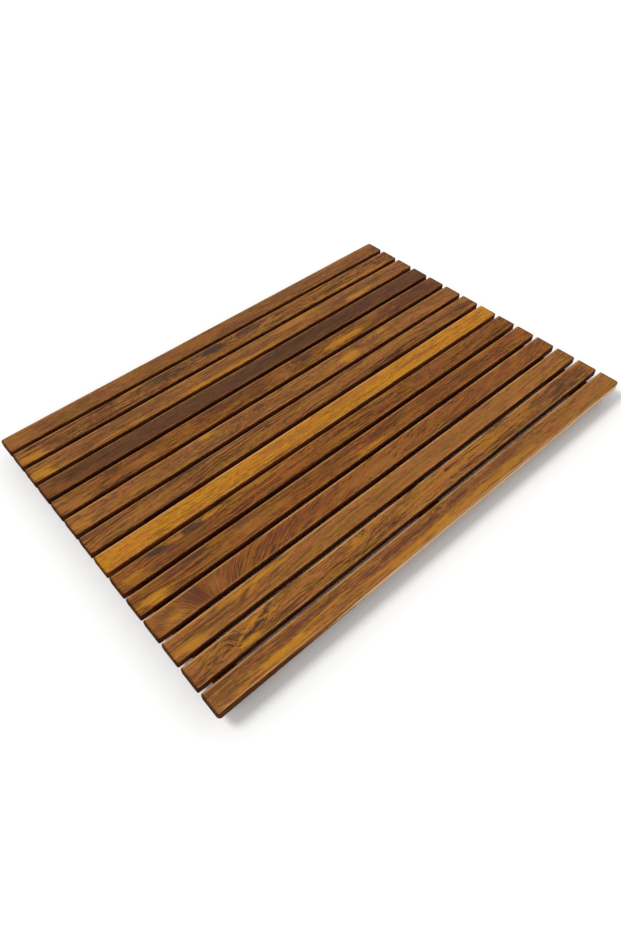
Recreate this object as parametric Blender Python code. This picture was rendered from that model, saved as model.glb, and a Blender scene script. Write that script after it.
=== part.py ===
"""Bath mat: hardwood slats screwed from below to three cross battens, which stand on round rubber feet.

Metres, +Z up. The origin is the middle of the mat on the floor. +X runs along the slats and -Y is the front.
"""

import math

import bmesh
import bpy
from mathutils import Vector

# The mat
MAT_LENGTH = 0.700
MAT_WIDTH = 0.500
TOUCH_GAP = 0.0003

# Slats
SLAT_COUNT = 14
SLAT_WIDTH = 0.030
SLAT_THICKNESS = 0.011
SLAT_EDGE_RADIUS = 0.0015
SLAT_CORNER_RADIUS = 0.0022

# Battens
BATTEN_WIDTH = 0.030
BATTEN_HEIGHT = 0.012
BATTEN_END_INSET = 0.019
BATTEN_SIDE_INSET = 0.006
BATTEN_EDGE_RADIUS = 0.0012

# Feet
FEET_PER_BATTEN = 3
FOOT_RADIUS = 0.008
FOOT_STANDING_HEIGHT = 0.003
FOOT_RECESS_DEPTH = 0.0015
FOOT_EDGE_RADIUS = 0.0008

# Screws
SCREW_LENGTH = 0.018
SCREW_RADIUS = 0.00175
SCREW_HEAD_RADIUS = 0.0034
SCREW_HEAD_CONE = 0.0018
SCREW_TIP_LENGTH = 0.003
DRIVE_LOBE_RADIUS = 0.0017
DRIVE_VALLEY_RADIUS = 0.0012
DRIVE_DEPTH = 0.0012

# Facets
EDGE_SEGMENTS = 2
SCREW_SIDES = 12
FOOT_SIDES = 20
CUTTER_OVERSHOOT = 0.002

# What follows from the sizes above
SLAT_PITCH = (MAT_WIDTH - SLAT_WIDTH) / (SLAT_COUNT - 1)
BATTEN_LENGTH = MAT_WIDTH - 2 * BATTEN_SIDE_INSET
BATTEN_SPACING = MAT_LENGTH / 2 - BATTEN_END_INSET - BATTEN_WIDTH / 2
BATTEN_PLACES = {"left": -BATTEN_SPACING, "middle": 0.0, "right": BATTEN_SPACING}
SCREWED_SIDES = ("left", "right")
BATTEN_BOTTOM = FOOT_STANDING_HEIGHT
BATTEN_TOP = BATTEN_BOTTOM + BATTEN_HEIGHT
SLAT_BOTTOM = BATTEN_TOP + TOUCH_GAP
HEAD_SLOPE = (SCREW_HEAD_RADIUS - SCREW_RADIUS) / SCREW_HEAD_CONE

# Wood, rubber and steel: colour, roughness, metallic
FINISHES = {
    "teak_dark": ((0.130, 0.062, 0.033), 0.50, 0.0),
    "teak_brown": ((0.225, 0.095, 0.036), 0.46, 0.0),
    "teak_warm": ((0.275, 0.115, 0.032), 0.44, 0.0),
    "teak_golden": ((0.385, 0.160, 0.030), 0.42, 0.0),
    "batten_teak": ((0.150, 0.065, 0.026), 0.60, 0.0),
    "grey_rubber": ((0.090, 0.088, 0.085), 0.75, 0.0),
    "stainless_steel": ((0.560, 0.550, 0.530), 0.32, 1.0),
}
SLAT_TONES = (
    "teak_brown", "teak_brown", "teak_warm", "teak_dark", "teak_brown", "teak_warm", "teak_brown",
    "teak_golden", "teak_brown", "teak_warm", "teak_warm", "teak_golden", "teak_warm", "teak_warm",
)


def clear_scene():
    for obj in list(bpy.data.objects):
        bpy.data.objects.remove(obj, do_unlink=True)


def make_finish(name):
    colour, roughness, metallic = FINISHES[name]
    material = bpy.data.materials.new(name)
    material.use_nodes = True
    material.diffuse_color = (*colour, 1.0)
    shader = material.node_tree.nodes["Principled BSDF"]
    shader.inputs["Base Color"].default_value = (*colour, 1.0)
    shader.inputs["Roughness"].default_value = roughness
    shader.inputs["Metallic"].default_value = metallic
    return material


def add_object(name, mesh):
    obj = bpy.data.objects.new(name, mesh)
    bpy.context.scene.collection.objects.link(obj)
    return obj


def add_node(name, mesh, place, parent, material):
    """One piece of the mat. Copies share a mesh, so the material sits on the object."""
    obj = add_object(name, mesh)
    obj.location = place
    obj.parent = parent
    if not mesh.materials:
        mesh.materials.append(None)
    obj.material_slots[0].link = "OBJECT"
    obj.material_slots[0].material = material
    return obj


def finish_mesh(bm, name):
    bmesh.ops.recalc_face_normals(bm, faces=bm.faces)
    mesh = bpy.data.meshes.new(name)
    bm.to_mesh(mesh)
    bm.free()
    return mesh


def turned_mesh(name, profile, sides):
    """A closed solid turned about Z from (radius, height) points, the first and the last on the axis."""
    bm = bmesh.new()
    points = [bm.verts.new((radius, 0.0, height)) for radius, height in profile]
    outline = [bm.edges.new(pair) for pair in zip(points, points[1:])]
    bmesh.ops.spin(
        bm, geom=points + outline, axis=(0, 0, 1), cent=(0, 0, 0), angle=2 * math.pi, steps=sides,
        use_merge=True,
    )
    bmesh.ops.remove_doubles(bm, verts=bm.verts, dist=0.00001)
    return finish_mesh(bm, name)


def plank_mesh(name, length_x, length_y, height, corner_radius, edge_radius):
    """A plank on z = 0, centred in plan: corners rounded in plan first, then every edge eased."""
    bm = bmesh.new()
    bmesh.ops.create_cube(bm, size=1.0)
    bmesh.ops.translate(bm, vec=(0, 0, 0.5), verts=bm.verts)
    bmesh.ops.scale(bm, vec=(length_x, length_y, height), verts=bm.verts)
    upright = [edge for edge in bm.edges if abs(edge.verts[0].co.z - edge.verts[1].co.z) > height / 2]
    bmesh.ops.bevel(
        bm, geom=upright, offset=corner_radius, offset_type="OFFSET", segments=EDGE_SEGMENTS,
        profile=0.5, affect="EDGES", material=-1,
    )
    rims = [edge for edge in bm.edges if abs(edge.verts[0].co.z - edge.verts[1].co.z) < height / 2]
    bmesh.ops.bevel(
        bm, geom=rims, offset=edge_radius, offset_type="OFFSET", segments=EDGE_SEGMENTS,
        profile=0.5, affect="EDGES", material=-1,
    )
    return finish_mesh(bm, name)


def add_cutter(name, mesh, place):
    cutter = add_object(name, mesh)
    cutter.location = place
    cutter.hide_render = True
    cutter.display_type = "WIRE"
    return cutter


def cut_mesh(mesh, cutter_mesh, places):
    """The mesh less one copy of the cutter at each place."""
    blank = add_object(mesh.name + "_blank", mesh)
    cutters = []
    for index, place in enumerate(places):
        cutters.append(add_cutter(f"{cutter_mesh.name}_{index}", cutter_mesh, place))
        modifier = blank.modifiers.new(cutters[-1].name, "BOOLEAN")
        modifier.object = cutters[-1]
        modifier.operation = "DIFFERENCE"
        modifier.solver = "EXACT"
    bpy.context.view_layer.update()
    evaluated = blank.evaluated_get(bpy.context.evaluated_depsgraph_get())
    result = bpy.data.meshes.new_from_object(evaluated)
    for helper in [blank, *cutters]:
        bpy.data.objects.remove(helper, do_unlink=True)
    return result


def shade_smooth(mesh, angle_degrees=35):
    mesh.shade_smooth()
    mesh.set_sharp_from_angle(angle=math.radians(angle_degrees))


def screw_mesh():
    """A countersunk wood screw standing on its head, with a six-lobed drive socket."""
    profile = [
        (0.0, DRIVE_DEPTH),
        (DRIVE_LOBE_RADIUS, DRIVE_DEPTH),
        (DRIVE_LOBE_RADIUS, 0.0),
        (SCREW_HEAD_RADIUS, 0.0),
        (SCREW_RADIUS, SCREW_HEAD_CONE),
        (SCREW_RADIUS, SCREW_LENGTH - SCREW_TIP_LENGTH),
        (0.0, SCREW_LENGTH),
    ]
    mesh = turned_mesh("screw", profile, SCREW_SIDES)
    valley_scale = DRIVE_VALLEY_RADIUS / DRIVE_LOBE_RADIUS
    for vertex in mesh.vertices:
        flat = Vector((vertex.co.x, vertex.co.y))
        if abs(flat.length - DRIVE_LOBE_RADIUS) > 0.00001 or vertex.co.z > DRIVE_DEPTH + 0.00001:
            continue
        side = round(math.atan2(flat.y, flat.x) / (2 * math.pi / SCREW_SIDES))
        if side % 2:
            vertex.co.x *= valley_scale
            vertex.co.y *= valley_scale
    shade_smooth(mesh)
    return mesh


def screw_hole_mesh():
    """The screw's outline grown by the touch gap. The countersink's cone runs on below the head."""
    mouth_radius = SCREW_HEAD_RADIUS + TOUCH_GAP + CUTTER_OVERSHOOT * HEAD_SLOPE
    profile = [
        (0.0, -CUTTER_OVERSHOOT),
        (mouth_radius, -CUTTER_OVERSHOOT),
        (SCREW_RADIUS + TOUCH_GAP, SCREW_HEAD_CONE),
        (SCREW_RADIUS + TOUCH_GAP, SCREW_LENGTH - SCREW_TIP_LENGTH),
        (0.0, SCREW_LENGTH + TOUCH_GAP),
    ]
    return turned_mesh("screw_hole", profile, SCREW_SIDES)


def foot_mesh():
    """A round foot, eased where it meets the floor."""
    height = FOOT_STANDING_HEIGHT + FOOT_RECESS_DEPTH - TOUCH_GAP
    profile = [
        (0.0, 0.0),
        (FOOT_RADIUS - FOOT_EDGE_RADIUS, 0.0),
        (FOOT_RADIUS, FOOT_EDGE_RADIUS),
        (FOOT_RADIUS, height),
        (0.0, height),
    ]
    mesh = turned_mesh("foot", profile, FOOT_SIDES)
    shade_smooth(mesh)
    return mesh


def foot_recess_mesh():
    profile = [
        (0.0, -CUTTER_OVERSHOOT),
        (FOOT_RADIUS + TOUCH_GAP, -CUTTER_OVERSHOOT),
        (FOOT_RADIUS + TOUCH_GAP, FOOT_RECESS_DEPTH),
        (0.0, FOOT_RECESS_DEPTH),
    ]
    return turned_mesh("foot_recess", profile, FOOT_SIDES)


def slat_rows():
    """The slats' centre lines, from the back of the mat to the front."""
    return [(SLAT_COUNT - 1) / 2 * SLAT_PITCH - index * SLAT_PITCH for index in range(SLAT_COUNT)]


def foot_rows():
    """The feet's places along a batten, each midway between two slats and so between two screws."""
    gaps = [(back + front) / 2 for back, front in zip(slat_rows(), slat_rows()[1:])]
    return [gaps[round(index * (len(gaps) - 1) / (FEET_PER_BATTEN - 1))] for index in range(FEET_PER_BATTEN)]


def slat_mesh():
    blank = plank_mesh("slat", MAT_LENGTH, SLAT_WIDTH, SLAT_THICKNESS, SLAT_CORNER_RADIUS, SLAT_EDGE_RADIUS)
    holes = [(x, 0.0, BATTEN_BOTTOM - SLAT_BOTTOM) for x in BATTEN_PLACES.values()]
    mesh = cut_mesh(blank, screw_hole_mesh(), holes)
    shade_smooth(mesh)
    return mesh


def batten_mesh():
    blank = plank_mesh(
        "batten", BATTEN_WIDTH, BATTEN_LENGTH, BATTEN_HEIGHT, BATTEN_EDGE_RADIUS, BATTEN_EDGE_RADIUS
    )
    mesh = cut_mesh(blank, screw_hole_mesh(), [(0.0, y, 0.0) for y in slat_rows()])
    mesh = cut_mesh(mesh, foot_recess_mesh(), [(0.0, y, 0.0) for y in foot_rows()])
    shade_smooth(mesh)
    return mesh


def add_slats(mat, materials):
    slat = slat_mesh()
    for index, y in enumerate(slat_rows()):
        tone = materials[SLAT_TONES[index % len(SLAT_TONES)]]
        add_node(f"slat_{index + 1:02d}", slat, (0, y, SLAT_BOTTOM), mat, tone)


def add_battens(mat, material):
    batten = batten_mesh()
    for side, x in BATTEN_PLACES.items():
        add_node(f"batten_{side}", batten, (x, 0, BATTEN_BOTTOM), mat, material)


def add_feet(mat, material):
    foot = foot_mesh()
    for side, x in BATTEN_PLACES.items():
        for index, y in enumerate(foot_rows(), start=1):
            add_node(f"foot_{side}_{index}", foot, (x, y, 0), mat, material)


def add_screws(mat, material):
    """The screws of the two outer battens. The middle batten has its holes only."""
    screw = screw_mesh()
    for side in SCREWED_SIDES:
        x = BATTEN_PLACES[side]
        for index, y in enumerate(slat_rows(), start=1):
            add_node(f"screw_{side}_{index:02d}", screw, (x, y, BATTEN_BOTTOM), mat, material)


def build():
    clear_scene()
    materials = {name: make_finish(name) for name in FINISHES}
    mat = add_object("bath_mat", None)
    add_slats(mat, materials)
    add_battens(mat, materials["batten_teak"])
    add_feet(mat, materials["grey_rubber"])
    add_screws(mat, materials["stainless_steel"])


build()
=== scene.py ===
"""Looks of a wooden bath mat: oiled teak slats on three cross battens, with steel screws and rubber feet.

Laid out as an add-on: the settings are properties, each group of pieces has its operator, and the panel
lists them. Run as a script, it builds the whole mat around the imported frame.
"""
import math
from typing import NamedTuple

import bmesh
import bpy
from bpy.props import FloatProperty, FloatVectorProperty, PointerProperty
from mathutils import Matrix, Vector, noise


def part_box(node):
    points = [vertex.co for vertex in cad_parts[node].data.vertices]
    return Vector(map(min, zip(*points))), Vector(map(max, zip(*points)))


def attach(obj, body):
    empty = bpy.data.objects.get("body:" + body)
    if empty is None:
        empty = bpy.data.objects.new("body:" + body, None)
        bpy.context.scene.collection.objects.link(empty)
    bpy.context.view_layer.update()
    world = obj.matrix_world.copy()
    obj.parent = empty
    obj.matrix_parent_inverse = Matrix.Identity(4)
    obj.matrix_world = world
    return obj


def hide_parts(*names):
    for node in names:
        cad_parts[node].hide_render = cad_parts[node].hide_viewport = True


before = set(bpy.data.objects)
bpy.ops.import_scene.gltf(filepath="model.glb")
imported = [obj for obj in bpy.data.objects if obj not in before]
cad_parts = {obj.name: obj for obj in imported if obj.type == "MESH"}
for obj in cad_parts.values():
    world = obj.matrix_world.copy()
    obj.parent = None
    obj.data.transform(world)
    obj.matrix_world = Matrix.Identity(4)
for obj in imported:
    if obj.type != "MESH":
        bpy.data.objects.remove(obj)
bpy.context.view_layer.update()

bl_info = {
    "name": "Teak Bath Mat",
    "version": (1, 0, 0),
    "blender": (4, 5, 0),
    "location": "3D View > Sidebar > Bath Mat",
    "description": "Builds the slats, battens, screws and feet of a teak bath mat, and a plain studio",
    "category": "Object",
}

BODY = "root"
SLAT_NODES, BATTEN_NODES, FOOT_NODES, SCREW_NODES = (
    sorted(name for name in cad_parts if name.startswith(kind))
    for kind in ("slat_", "batten_", "foot_", "screw_")
)

# Mesh detail
SLAT_BANDS = 60
CORNER_SEGMENTS = 6
RIM_SEGMENTS = 4
SCREW_SIDES = 48
FOOT_SIDES = 64
THREAD_STEPS = 12
SAME_PLACE = 1e-6
CUT_MERGE = 1e-7

# Hand sanding: waves a metre along and across a board, and the step from one board's waves to the next's
SAND_ALONG = 22
SAND_ACROSS = 60
SAND_STEP = 5.3

# Where the worn edge is cut, in shares of its width, and how quickly it starts from its far end
WORN_CUTS = (0.6, 0.8, 1.0)
WORN_START = 3

# Tints that darken or turn the wood's colour
WARM_TINT = (1.03, 0.91, 1.08)
OLIVE_TINT = (0.97, 1.04, 0.80)
HAIR_TINT = (0.50, 0.40, 0.36)
PORE_TINT = (0.25, 0.18, 0.14)
# Painted shade: darkens the boards' sides to stand in for the shade in the gaps between them
SIDE_SHADE_TINT = (0.26, 0.08, 0.025)
# The end grain's own soaked dark, deepened with painted shade
END_GRAIN_AND_SHADE_TINT = (0.11, 0.08, 0.06)
DUST_TINT = (0.6, 0.58, 0.55)

# The teak's noise, from broad streaks to flecks: waves a metre along and across, detail and weight
STREAK_LAYERS = (
    (4, 110, 3, 1.0),
    (11, 300, 4, 1.8),
    (26, 620, 5, 4.2),
    (60, 1200, 3, 3.0),
    (140, 620, 2, 2.6),
)
# The board's slow waves: step from board to board, waves a metre along and across, and how far they reach
GRAIN_WAVES = ((1.7, 4.5, 16, 0.020), (0.9, 22, 60, 0.004))

# Where each kind of mark starts and is full, in the value of its noise
RING_STEP = (0.36, 0.62)
GILT_STEP = (0.54, 0.70)
SOOT_STEP = (0.55, 0.70)
HAIR_STEP = (0.56, 0.66)
PORE_STEP = (0.58, 0.72)
# The pale band on the rounded top edges: worn wood with painted highlight
RUB_HIGHLIGHT_STEP = (0.36, 0.56)

# Where an edge's colour starts and is full, in metres from the board's faces: the end grain's dark with its
# painted shade, the sides' painted shade, and the worn band with its painted highlight
END_BAND = (-0.0034, -0.0005)
SIDE_SHADE_BAND = (-0.0009, -0.0001)
RUB_HIGHLIGHT_SIDE_BAND = (-0.0034, -0.0018)
RUB_HIGHLIGHT_TOP_BAND = (-0.0016, -0.0007)
RUB_HIGHLIGHT_END_BAND = (-0.0015, -0.0040)

BATTEN_SEED = 21.0
FLOOR_HALF_SIZE = 12.0


def middle_of(node):
    low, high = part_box(node)
    return (low + high) / 2


def size_of(node):
    low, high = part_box(node)
    return high - low


def node_foot(node):
    """The middle of a node's lowest level."""
    low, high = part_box(node)
    return Vector(((low.x + high.x) / 2, (low.y + high.y) / 2, low.z))


def need(nodes, what):
    """Stops an operator that has no frame nodes to work on."""
    if not nodes:
        raise RuntimeError(f"the frame has no {what}")


def linear(red, green, blue):
    """A display colour, 0 to 255 a channel, as the linear values that the nodes take."""
    return tuple(
        channel / 255 / 12.92 if channel <= 10 else ((channel / 255 + 0.055) / 1.055) ** 2.4
        for channel in (red, green, blue)
    )


# ---------------------------------------------------------------- settings


def colour_property(name, description, red, green, blue):
    return FloatVectorProperty(
        name=name, description=description, subtype="COLOR", size=3, min=0.0, max=1.0,
        default=linear(red, green, blue),
    )


def number_property(name, description, default, **more):
    return FloatProperty(name=name, description=description, default=default, min=0.0, **more)


def length_property(name, description, default):
    return number_property(name, description, default, unit="LENGTH", precision=4)


def factor_property(name, description, default):
    return number_property(name, description, default, max=1.0, subtype="FACTOR")


class BathMatWoodSettings(bpy.types.PropertyGroup):
    """The tones that the slats are made of, with the painted shade, highlight and reflection laid on them,
    and the finish of the oiled wood.
    """

    golden: colour_property("Golden", "Sapwood-bright teak", 183, 124, 36)
    honey: colour_property("Honey", "Light golden brown", 150, 99, 48)
    amber: colour_property("Amber", "Orange brown", 141, 87, 38)
    russet: colour_property("Russet", "Red brown", 124, 71, 40)
    walnut: colour_property("Walnut", "Middle brown", 104, 67, 43)
    umber: colour_property("Umber", "Dark brown", 79, 50, 33)
    smoke: colour_property("Smoke", "Dark grey brown", 65, 48, 40)
    plum: colour_property("Plum", "Dark purple brown", 87, 51, 39)
    dark: colour_property("Dark", "The soaked, shaded side of a worn edge", 66, 35, 9)
    # Worn pale wood with painted highlight on the rounded top edges
    rubbed_highlight: colour_property("Rubbed", "Pale wood where an edge is rubbed", 186, 138, 84)
    # Painted reflection of the bright floor in the front slat's face, as pale beige
    beige_reflection: colour_property("Beige", "Bare wood on a planed side", 205, 165, 122)
    # Deepens the end grain's own dark with painted shade
    end_grain_and_shade_darkness: factor_property("End darkness", "How much darker the end grain is", 0.9)
    shine: factor_property("Shine", "Strength of the oil's sheen", 0.02)
    roughness: factor_property("Roughness", "Roughness of the oiled faces", 0.42)
    grain_depth: length_property("Grain depth", "Depth of the open pores", 0.00012)


class BathMatSlatSettings(bpy.types.PropertyGroup):
    """The shape of the slats' edges."""

    edge_radius: length_property("Edge radius", "Rounding of the long edges and end edges", 0.0014)
    corner_radius: length_property("Corner radius", "Rounding of the end corners, seen from above", 0.0022)
    outer_corner_radius: length_property(
        "Outer corner radius", "The same on the mat's own four corners", 0.0042
    )
    hand_finish: length_property("Hand finish", "How far the sanded faces stray from flat", 0.00012)
    worn_width: length_property("Worn width", "Width of the worn round-over on the front slat", 0.0034)
    worn_depth: length_property("Worn depth", "Depth of that round-over at the slat's edge", 0.0010)
    worn_length: length_property("Worn length", "How far it runs from the slat's left end", 0.170)


class BathMatFittingSettings(bpy.types.PropertyGroup):
    """The shapes and colours of the screws and the feet."""

    head_radius: length_property("Head radius", "Radius of the screws' heads", 0.0034)
    core_radius: length_property("Core radius", "Radius of the screws under their thread", 0.0014)
    thread_pitch: length_property("Thread pitch", "Rise of the screws' thread in one turn", 0.0016)
    thread_depth: length_property("Thread depth", "Height of the screws' thread over the core", 0.00035)
    socket_radius: length_property("Socket radius", "Mean radius of the six-lobed socket", 0.00148)
    socket_depth: length_property("Socket depth", "Depth of the six-lobed socket", 0.0012)
    foot_dish: length_property("Foot dish", "Depth of the hollow under a foot", 0.0006)
    steel: colour_property("Steel", "Stainless steel of the screws", 196, 194, 190)
    rubber: colour_property("Rubber", "Rubber of the feet", 58, 57, 55)


class BathMatStageSettings(bpy.types.PropertyGroup):
    """The camera, the lights and the floor."""

    camera_place: FloatVectorProperty(
        name="Camera place", description="Where the camera stands", subtype="TRANSLATION", size=3,
        default=(-0.4192, -0.4976, 0.6767),
    )
    camera_turn: FloatVectorProperty(
        name="Camera turn", description="The camera's rotation", subtype="EULER", size=3,
        default=(math.radians(40.269), math.radians(1.821), math.radians(-41.320)),
    )
    lens: number_property("Lens", "Focal length", 25.656, unit="CAMERA")
    floor: colour_property("Floor", "Colour of the floor", 244, 244, 243)
    sky: number_property("Sky", "Strength of the light from low all round", 1.25)
    zenith: number_property("Zenith", "Strength of the light from overhead", 0.28)
    key: number_property("Key", "Strength of the wide light behind the mat", 1.70)
    key_side: FloatVectorProperty(
        name="Key side", description="Where the key shines from", subtype="DIRECTION", size=3,
        default=(-2.6, 2.9, 5.2),
    )
    key_width: number_property(
        "Key width", "How wide the key looks from the mat", math.radians(23), subtype="ANGLE"
    )


class BathMatSettings(bpy.types.PropertyGroup):
    """All settings of the bath mat."""

    wood: PointerProperty(type=BathMatWoodSettings)
    slats: PointerProperty(type=BathMatSlatSettings)
    fittings: PointerProperty(type=BathMatFittingSettings)
    stage: PointerProperty(type=BathMatStageSettings)


# ---------------------------------------------------------------- what each slat looks like


class Knot(NamedTuple):
    """A swirl that the grain bends round. Places and sizes are from the slat's middle, in millimetres."""

    x: float
    y: float
    length: float
    width: float
    push: float


class Sweep(NamedTuple):
    """A feather, where the grain fans out to both sides of a line across the slat. In millimetres."""

    x: float
    bend: float
    heart: float


class Patch(NamedTuple):
    """A stretch of another tone, feathered along the grain. In millimetres from the slat's middle."""

    x: float
    y: float
    length: float
    width: float
    tone: str
    strength: float
    slope: float = 0.0
    z: float = 5.0
    height: float = 12.0
    ragged: float = 1.0


class Look(NamedTuple):
    """One board's cut.

    pith is where the tree's centre lay, seen from the board's end, and ring the width of a year's growth, in
    millimetres. lean is how the centre drifts along the board, in millimetres a metre. gilt and soot are the
    amounts of golden and dark streaks, rub that of the pale band on the rounded top edges, which is worn wood
    with painted highlight, and sides how much painted shade darkens the sides for the gaps between boards.
    """

    light: str
    dark: str
    balance: float
    contrast: float
    pith: tuple
    lean: tuple
    ring: float
    bow: float = 0.0
    sweeps: tuple = ()
    knots: tuple = ()
    patches: tuple = ()
    side_patches: tuple = ()
    gilt: float = 0.4
    soot: float = 0.4
    rub_highlight: float = 0.4
    rings: float = 0.8
    sides: float = 0.8


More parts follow.
